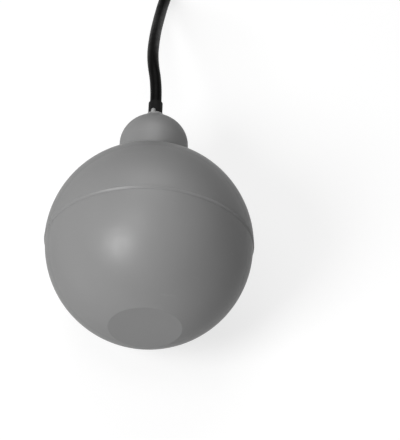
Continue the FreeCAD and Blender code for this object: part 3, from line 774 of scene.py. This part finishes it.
class FLOAT_OT_upper_half(Step, bpy.types.Operator):
    """Moulds the half with the domed neck, the weld tongue and the ribbed skirt of the capsule"""

    bl_idname = "float_switch.upper_half"
    bl_label = "Upper Half"

    def build(self, chosen):
        sizes = chosen.shell
        inner_radius = BALL_RADIUS - sizes.wall
        shoulder = BALL_RADIUS + sizes.neck_rise
        pocket_top = shoulder + sizes.dome_height - sizes.pocket_roof
        cavity_top = pocket_top - sizes.pocket_depth
        skirt_end = cavity_top - sizes.skirt_length
        skirt_radius = sizes.cavity_radius + sizes.skirt_wall
        skirt_top = on_sphere(inner_radius, skirt_radius)
        ball = BALL_RADIUS + sizes.upper_stand
        seam_radius = BALL_RADIUS - sizes.lower_shrink
        line = Outline((seam_radius, 0.0))
        line.run((seam_radius, sizes.lip_start), (on_sphere(ball, sizes.lip_end), sizes.lip_end))
        from_middle = ball + sizes.neck_round
        fillet_radius = sizes.neck_radius + sizes.neck_round
        fillet_centre = (fillet_radius, on_sphere(from_middle, fillet_radius))
        line.bend((0, 0), scaled(fillet_centre, ball / from_middle), BALL_STEPS)
        line.bend(fillet_centre, (sizes.neck_radius, fillet_centre[1]), FILLET_STEPS)
        line.run((sizes.neck_radius, shoulder))
        self.draw_dome(line, sizes, shoulder)
        line.run((sizes.hole_radius, pocket_top), (sizes.pocket_radius, pocket_top))
        line.run((sizes.pocket_radius, cavity_top), (sizes.cavity_radius, cavity_top))
        line.run((sizes.cavity_radius, skirt_end), (skirt_radius, skirt_end))
        line.run((skirt_radius, skirt_top))
        rim_start = (on_sphere(inner_radius, sizes.rim_depth), sizes.rim_depth)
        line.bend((0, 0), rim_start, RIM_STEPS)
        rim_radius = BALL_RADIUS - sizes.rim_wall
        line.run(
            (rim_radius, sizes.rim_depth - sizes.rim_slope),
            (rim_radius, 0.0),
            *tongue_places(sizes, 0.0),
        )
        bm = line.turned(sizes.segments)
        soften_edges(bm, sizes.edge_round, 2)
        ballast_low, ballast_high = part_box("ballast_ring")
        start = (ballast_high.x - ballast_low.x) / 2
        low = ballast_high.y - BALL_CENTRE.y + sizes.rib_gap
        slope = (skirt_top - low) / (BALL_RADIUS - sizes.wall / 2 - start)
        inside = skirt_radius - sizes.skirt_wall / 2
        add_ribs(bm, sizes, [(inside, skirt_top), (inside, low), (start, low)], slope, skirt_top)
        piece = finished("upper_half", bm, finish_for("shell"), BALL_CENTRE)
        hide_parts("upper_shell")

    def draw_dome(self, line, sizes, shoulder):
        """The dome's outline: a quarter circle on the neck, pressed down to its height."""
        before = set(line.bm.verts)
        line.arc((0, shoulder), math.acos(sizes.hole_radius / sizes.neck_radius), 28)
        bmesh.ops.scale(
            line.bm,
            verts=[vert for vert in line.bm.verts if vert not in before],
            vec=(1, sizes.dome_height / sizes.neck_radius, 1),
            space=Matrix.Translation((0, -shoulder, 0)),
        )


class FLOAT_OT_bead(Step, bpy.types.Operator):
    """Presses the uneven bead of plastic out of the welded seam"""

    bl_idname = "float_switch.bead"
    bl_label = "Weld Bead"

    def build(self, chosen):
        sizes = chosen.bead
        middle = BALL_RADIUS + sizes.stand - sizes.radius
        down, out = math.sin(sizes.slope), math.cos(sizes.slope)
        side = (middle + sizes.radius * out, sizes.place - sizes.radius * down)
        foot = (side[0] - sizes.flank * down, side[1] - sizes.flank * out)
        back = sizes.place + sizes.radius
        line = Outline(foot)
        line.run(side)
        line.bend((middle, sizes.place), (middle, back), 10)
        line.run((middle - sizes.radius, back), (middle - sizes.radius, foot[1]))
        bm = line.turned(sizes.segments)
        for vert in bm.verts:
            round_axis = Vector((vert.co.x, 0, vert.co.z)).normalized()
            heart = round_axis * middle + AXIS * sizes.place
            swell = noise.noise(round_axis * BALL_RADIUS / sizes.lump)
            ripple = noise.noise(vert.co * 4 / sizes.lump) / 2
            share = 1 - sizes.unevenness * (0.5 + 0.5 * swell + ripple)
            vert.co = heart + (vert.co - heart) * min(share, 1.0)
        piece = finished("weld_bead", bm, finish_for("shell"), BALL_CENTRE)


# ---- the cable's seal ----
class FLOAT_OT_seal(Step, bpy.types.Operator):
    """Moulds the rubber seal of the neck, with its two ridges and the collar up the cable"""

    bl_idname = "float_switch.seal"
    bl_label = "Cable Seal"

    def build(self, chosen):
        sizes, shell = chosen.seal, chosen.shell
        collar = chosen.cable.diameter / 2 + sizes.collar_wall
        collar_end = COLLAR_END - sizes.collar_short
        pocket_top = BALL_RADIUS + shell.neck_rise + shell.dome_height - shell.pocket_roof
        low = pocket_top - shell.pocket_depth
        step = shell.pocket_depth / 5
        ridge = sizes.ridge_radius
        waist = ridge - 2 * sizes.collar_wall
        top = pocket_top - (shell.pocket_radius - ridge)
        line = Outline((sizes.bore, low))
        line.run((ridge, low), (ridge, low + step), (waist, low + 1.5 * step))
        line.run((waist, low + 3.5 * step), (ridge, low + 4 * step), (ridge, top))
        line.run((collar, top), (collar, collar_end), (sizes.bore, collar_end))
        bm = line.turned(TUBE_STEPS)
        soften_edges(bm, sizes.lip_round, 4, 20)
        piece = finished("cable_seal", bm, finish_for("grommet_rubber"), BALL_CENTRE, 50)
        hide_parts("cable_grommet")


def dome_place(shell, radius):
    """The place on the neck's dome at a distance from the axis."""
    share = math.sqrt(1 - (radius / shell.neck_radius) ** 2)
    return (radius, BALL_RADIUS + shell.neck_rise + shell.dome_height * share)


class FLOAT_OT_sealant(Step, bpy.types.Operator):
    """Draws the ring of sealant up round the collar, with one run standing on its crest"""

    bl_idname = "float_switch.sealant"
    bl_label = "Sealant"

    def build(self, chosen):
        sizes, shell = chosen.seal, chosen.shell
        collar = chosen.cable.diameter / 2 + sizes.collar_wall
        crest = BALL_RADIUS + shell.neck_rise + shell.dome_height + sizes.crest
        crest_radius = collar + sizes.crest_width
        foot = dome_place(shell, sizes.foot_radius)
        line = Outline(dome_place(shell, collar))
        line.run(
            foot,
            ((crest_radius + foot[0]) / 2 - sizes.hollow, (crest + foot[1]) / 2 - sizes.hollow),
            (crest_radius, crest),
            (collar, crest),
        )
        bm = line.turned(TUBE_STEPS)
        drop = bmesh.new()
        bmesh.ops.create_uvsphere(drop, u_segments=24, v_segments=16, radius=sizes.drop_radius)
        stretch(drop, (0.92, 1.1, 0.85))
        move(drop, (-sizes.crest_width, crest + sizes.drop_rise, collar + sizes.crest_width / 2))
        add_closed_part(bm, drop)
        piece = finished("sealant_ring", bm, finish_for("sealant"), None, 180)
        self.run_together(piece, sizes.grain, 6)
        self.shape(piece.data, collar)
        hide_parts("entry_sealant")

    def run_together(self, piece, grain, passes):
        """Turns the piece's closed forms into one smooth skin."""
        skin = piece.modifiers.new("skin", "REMESH")
        skin.mode = "VOXEL"
        skin.voxel_size = grain
        skin.use_smooth_shade = True
        piece.modifiers.new("rub", "SMOOTH").iterations = passes
        graph = bpy.context.evaluated_depsgraph_get()
        mesh = bpy.data.meshes.new_from_object(piece.evaluated_get(graph), depsgraph=graph)
        piece.modifiers.clear()
        rough, piece.data = piece.data, mesh
        bpy.data.meshes.remove(rough)
        mesh.name = piece.name

    def shape(self, mesh, collar):
        """Keeps the skin off the collar, roughens it and sets it in its place."""
        for vert in mesh.vertices:
            lump = sum(noise.noise(vert.co / size) * height for size, height in SEALANT_LUMPS)
            place = vert.co + vert.normal * (lump - SEALANT_SHRINK)
            across = Vector((place.x, 0, place.z))
            if across.length < collar:
                place = place + across.normalized() * (collar - across.length)
            vert.co = place + BALL_CENTRE


# ---- the cable ----
def beside_coil(degrees, radius, height):
    turn = math.radians(degrees)
    return COIL_CENTRE + Vector((radius * math.cos(turn), radius * math.sin(turn), height))


def coil_slots(sizes):
    """Distance from the coil's middle and height of each pass, back and forth along the layers."""
    outer = COIL_RADIUS - sizes.diameter / 2 - sizes.slack
    low = COIL_LOW.z + sizes.diameter / 2
    slots = []
    for layer in range(sizes.layers):
        columns = range(sizes.columns)
        for column in columns if layer % 2 == 0 else reversed(columns):
            slots.append((outer - column * sizes.turn_pitch, low + layer * sizes.turn_pitch))
    return slots


def shift_start(slot, sizes):
    """Angle at which a pass leaves its slot. The top layer moves first, so that none meet."""
    layer, column = divmod(slot, sizes.columns)
    zone = 2 * (sizes.layers - 1 - layer) - (1 if column == sizes.columns - 1 else 0)
    return sizes.shift_first + sizes.shift_lag * zone


def coil_points(sizes):
    """The turns put away, each led from its slot to the next one on its way round."""
    slots = coil_slots(sizes)
    points = []
    for slot, (here, there) in enumerate(zip(slots, slots[1:])):
        for step in range(sizes.turn_points):
            turn = 2 * math.pi * step / sizes.turn_points
            share = eased((turn - shift_start(slot, sizes)) / sizes.shift_width)
            radius = here[0] + (there[0] - here[0]) * share
            height = here[1] + (there[1] - here[1]) * share
            radius += sizes.wander * math.sin(3 * turn)
            points.append(beside_coil(math.degrees(turn), radius, height))
    return points


def round_curve(name, lines, diameter, resolution, sides, material):
    """Round pieces along smooth lines, each with its points as control points."""
    data = bpy.data.curves.new(name, "CURVE")
    data.dimensions = "3D"
    data.bevel_depth = diameter / 2
    data.bevel_resolution = sides
    data.resolution_u = resolution
    data.use_fill_caps = True
    for points in lines:
        spline = data.splines.new("NURBS")
        spline.points.add(len(points) - 1)
        for control, point in zip(spline.points, points):
            control.co = (*point, 1.0)
        spline.order_u = 3
        spline.use_endpoint_u = True
    data.materials.append(material)
    piece = linked(name, data)
    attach(piece, FLOAT_BODY)
    return piece


def past_jacket(forward, side, height):
    """A place past the jacket's cut end, along and across its heading."""
    last, before = (beside_coil(*point) for point in (TAIL_POINTS[-1], TAIL_POINTS[-2]))
    heading = (last - before).normalized()
    place = last + heading * forward + heading.cross(UP) * side
    return Vector((place.x, place.y, height))


class FLOAT_OT_leads(Step, bpy.types.Operator):
    """Brings the three insulated conductors out of the jacket, with bared and twisted ends"""

    bl_idname = "float_switch.leads"
    bl_label = "Leads"

    def build(self, chosen):
        sizes = chosen.cable
        copper = Finish("copper_finish")
        bare_copper(copper, list(chosen.colours.copper))
        for colour, route in LEAD_POINTS.items():
            slot, name = "core_" + colour, "lead_" + colour
            points = [past_jacket(*point) for point in route]
            jacket = finish_for(slot)
            wire = round_curve(name + "_wire", [points], sizes.core_diameter, 8, 4, jacket)
            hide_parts(name)
            strands = self.strands(points[-1], (points[-1] - points[-2]).normalized(), sizes)
            round_curve(name + "_strands", strands, sizes.strand_diameter, 6, 2, copper.material)

    def strands(self, start, heading, sizes):
        """One straight copper wire and six laid round it, a little looser at the cut."""
        across = heading.cross(UP).normalized()
        above = across.cross(heading)
        lines = [[start - heading * sizes.tucked, start + heading * sizes.bare_length]]
        for wire in range(WIRES_ROUND_ONE):
            points = []
            for step in range(STRAND_POINTS):
                share = step / (STRAND_POINTS - 1)
                turn = 2 * math.pi * wire / WIRES_ROUND_ONE + STRAND_TWIST * share
                loose = 1.0 + 0.12 * share * noise.noise(Vector((wire, share, 3)))
                along = heading * (sizes.bare_length * share * (1 - 0.012 * (wire % 3)))
                side = across * math.cos(turn) + above * math.sin(turn)
                points.append(start + along + side * (sizes.strand_diameter * loose))
            lines.append(points)
        return lines


class FLOAT_OT_ties(Step, bpy.types.Operator):
    """Puts the nylon ties round the coil, each with its head and its cut tail"""

    bl_idname = "float_switch.ties"
    bl_label = "Coil Ties"

    def build(self, chosen):
        for number, degrees in enumerate(TIE_PLACES, 1):
            bm = self.band(chosen.cable)
            add_closed_part(bm, self.head(chosen.cable))
            rotate(bm, math.radians(degrees), "Z")
            piece = finished(f"coil_tie_{number}", bm, finish_for("tie_nylon"), COIL_CENTRE)
            if number == 1:
                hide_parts("coil_ties")

    def band(self, sizes):
        """The strap that follows the rounded outline of the turns."""
        grow = sizes.tie_play + sizes.tie_thickness
        low, high = COIL_LOW.z - grow, COIL_HIGH.z + grow
        inner = COIL_RADIUS - sizes.columns * sizes.turn_pitch - grow
        outer = COIL_RADIUS + grow
        bm = bmesh.new()
        bmesh.ops.create_grid(bm, x_segments=1, y_segments=1, size=0.5)
        stretch(bm, (outer - inner, high - low, 1))
        round_off(bm, bm.verts[:], sizes.diameter / 2 + grow, 8, affect="VERTICES")
        bmesh.ops.delete(bm, geom=bm.faces[:], context="FACES_ONLY")
        strip = bmesh.ops.extrude_edge_only(bm, edges=bm.edges[:])["geom"]
        move(bm, (0, 0, sizes.tie_width), verts_in(strip))
        face_out(bm)
        bmesh.ops.solidify(bm, geom=bm.faces[:], thickness=sizes.tie_thickness)
        face_out(bm)
        soften_edges(bm, sizes.tie_round, 2, 60)
        move(bm, (0, 0, -sizes.tie_width / 2))
        rotate(bm, math.pi / 2, "X")
        move(bm, ((inner + outer) / 2, 0, (low + high) / 2))
        return bm

    def head(self, sizes):
        """The locking head on top of the coil, with the strap's slot and the cut tail in it."""
        bm = self.box(sizes.head_length, sizes.tie_width + sizes.head_sides, sizes.head_height)
        side = [face for face in bm.faces if face.normal.x > 0.9]
        bmesh.ops.inset_region(bm, faces=side, thickness=sizes.slot_lip, depth=0.0)
        move(bm, (-sizes.slot_depth, 0, 0), list({vert for face in side for vert in face.verts}))
        soften_edges(bm, sizes.head_round, 3, 50)
        tail = self.box(sizes.tail_length, sizes.tie_width, sizes.tie_thickness)
        move(tail, (sizes.tail_reach, 0, 0))
        soften_edges(tail, sizes.tie_round, 2, 50)
        add_closed_part(bm, tail)
        top = COIL_HIGH.z + sizes.tie_play + sizes.tie_thickness
        middle = COIL_RADIUS - sizes.columns * sizes.turn_pitch / 2
        move(bm, (middle, 0, top + sizes.head_rise))
        return bm

    def box(self, *sides):
        bm = bmesh.new()
        bmesh.ops.create_cube(bm, size=1.0)
        stretch(bm, sides)
        return bm


class FLOAT_OT_cable(Step, bpy.types.Operator):
    """Lays the cable from the collar to the coil, winds it and brings out its stripped end"""

    bl_idname = "float_switch.cable"
    bl_label = "Cable"

    def build(self, chosen):
        sizes = chosen.cable
        points = [Vector(point) for point in RUN_POINTS]
        points += coil_points(sizes)
        points += [beside_coil(*point) for point in TAIL_POINTS]
        cable = round_curve("cable", [points], sizes.diameter, 8, 5, finish_for("cable_rubber"))
        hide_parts("cable_run", "cable_coil", "cable_tail")


class FLOAT_OT_nodes(Step, bpy.types.Operator):
    """Gives every solid of the frame its finish"""

    bl_idname = "float_switch.nodes"
    bl_label = "Inner Pieces"

    def build(self, chosen):
        for row in frame["record"]["subparts"]:
            node = frame["nodes"][row["node"]]
            node.data.materials.clear()
            node.data.materials.append(finish_for(row["material_slot"]))


# ---- the stage ----
def camera_axes(stage):
    """Right, up and back of a camera at that azimuth and elevation."""
    across, along = math.sin(stage.azimuth), math.cos(stage.azimuth)
    level, rise = math.cos(stage.elevation), math.sin(stage.elevation)
    right, back = Vector((along, across, 0.0)), Vector((across * level, -along * level, rise))
    return right, back.cross(right), back


class FLOAT_OT_camera(Step, bpy.types.Operator):
    """Sets the camera above the float, which lies with its flat pole towards it"""

    bl_idname = "float_switch.camera"
    bl_label = "Camera"

    def build(self, chosen):
        stage = chosen.stage
        right, up, back = camera_axes(stage)
        data = bpy.data.cameras.new("camera")
        data.lens = data.sensor_width * stage.distance / stage.view_height
        camera = linked("camera", data)
        aim = BALL_CENTRE - right * stage.ball_right - up * stage.ball_up
        turned = Matrix((right, up, back)).transposed().to_4x4()
        camera.matrix_world = Matrix.Translation(aim + back * stage.distance) @ turned
        scene = bpy.context.scene
        scene.camera = camera
        scene.view_settings.view_transform = "Standard"


class FLOAT_OT_stage(Step, bpy.types.Operator):
    """Sets the pale floor and the soft studio light"""

    bl_idname = "float_switch.stage"
    bl_label = "Stage"

    def build(self, chosen):
        stage = chosen.stage
        self.lay_floor(stage)
        axes = camera_axes(stage)
        for name, (shares, size) in LAMPS.items():
            way = sum((axis * share for axis, share in zip(axes, shares)), Vector())
            self.hang_lamp(name + "_lamp", way.normalized(), size, getattr(stage, name + "_power"))
        world = bpy.data.worlds.new("sky")
        world.use_nodes = True
        sky = world.node_tree.nodes["Background"]
        sky.inputs["Strength"].default_value = stage.sky
        sky.inputs["Color"].default_value = (1, 1, 1, 1)
        bpy.context.scene.world = world

    def hang_lamp(self, name, way, size, power):
        """A square lamp that faces the ball."""
        lamp = bpy.data.lights.new(name, "AREA")
        lamp.energy = power
        lamp.size = size
        aim = way.to_track_quat("Z", "Y").to_matrix().to_4x4()
        place = Matrix.Translation(BALL_CENTRE + way * LAMP_DISTANCE)
        linked(name, lamp).matrix_world = place @ aim

    def lay_floor(self, stage):
        """A wide floor, white as it is seen, which keeps the float's shadow."""
        bm = bmesh.new()
        bmesh.ops.create_grid(bm, x_segments=1, y_segments=1, size=stage.distance)
        move(bm, (0, 0, -FLOOR_DROP))
        floor = linked("floor", mesh_of("floor", bm))
        paint = Finish("floor_paint", Base_Color=(*stage.floor_colour, 1), Roughness=0.9)
        rays = paint.tree.nodes.new("ShaderNodeLightPath").outputs
        white = UNSEEN_WHITE
        for name in ("Is Camera Ray", "Is Glossy Ray", "Is Transmission Ray"):
            white = paint.maths("MAXIMUM", rays[name], white)
        glow = paint.maths("MULTIPLY", white, stage.floor_white)
        paint.shade(Emission_Color=(1, 1, 1, 1), Emission_Strength=glow)
        floor.data.materials.append(paint.material)


class FloatSwitchSettings(bpy.types.PropertyGroup):
    """Everything that a user would change."""

    shell: PointerProperty(type=ShellSizes)
    bead: PointerProperty(type=BeadSizes)
    seal: PointerProperty(type=SealSizes)
    cable: PointerProperty(type=CableSizes)
    colours: PointerProperty(type=Colours)
    stage: PointerProperty(type=StageSettings)


GROUPS = (ShellSizes, BeadSizes, SealSizes, CableSizes, Colours, StageSettings)
# In the order in which they run.
OPERATORS = (
    FLOAT_OT_camera,
    FLOAT_OT_leads,
    FLOAT_OT_ties,
    FLOAT_OT_cable,
    FLOAT_OT_lower_half,
    FLOAT_OT_upper_half,
    FLOAT_OT_bead,
    FLOAT_OT_seal,
    FLOAT_OT_sealant,
    FLOAT_OT_nodes,
    FLOAT_OT_stage,
)


class FLOAT_PT_panel(bpy.types.Panel):
    """Lists the sizes and the pieces"""

    bl_idname = "FLOAT_PT_panel"
    bl_label = "Float Switch"
    bl_space_type = "VIEW_3D"
    bl_region_type = "UI"
    bl_category = "Float Switch"

    def draw(self, context):
        for group_name in FloatSwitchSettings.__annotations__:
            group = getattr(settings(), group_name)
            box = self.layout.box()
            for name in group.__annotations__:
                box.prop(group, name, text=name.replace("_", " ").title())
        for operator in OPERATORS:
            self.layout.operator(operator.bl_idname)


CLASSES = (*GROUPS, FloatSwitchSettings, *OPERATORS, FLOAT_PT_panel)


def register():
    for item in CLASSES:
        bpy.utils.register_class(item)
    bpy.types.Scene.float_switch = PointerProperty(type=FloatSwitchSettings)


def unregister():
    del bpy.types.Scene.float_switch
    for item in reversed(CLASSES):
        bpy.utils.unregister_class(item)


def main():
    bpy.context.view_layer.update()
    register()
    for operator in OPERATORS:
        getattr(bpy.ops.float_switch, operator.bl_idname.split(".")[1])()


if __name__ == "__main__":
    main()
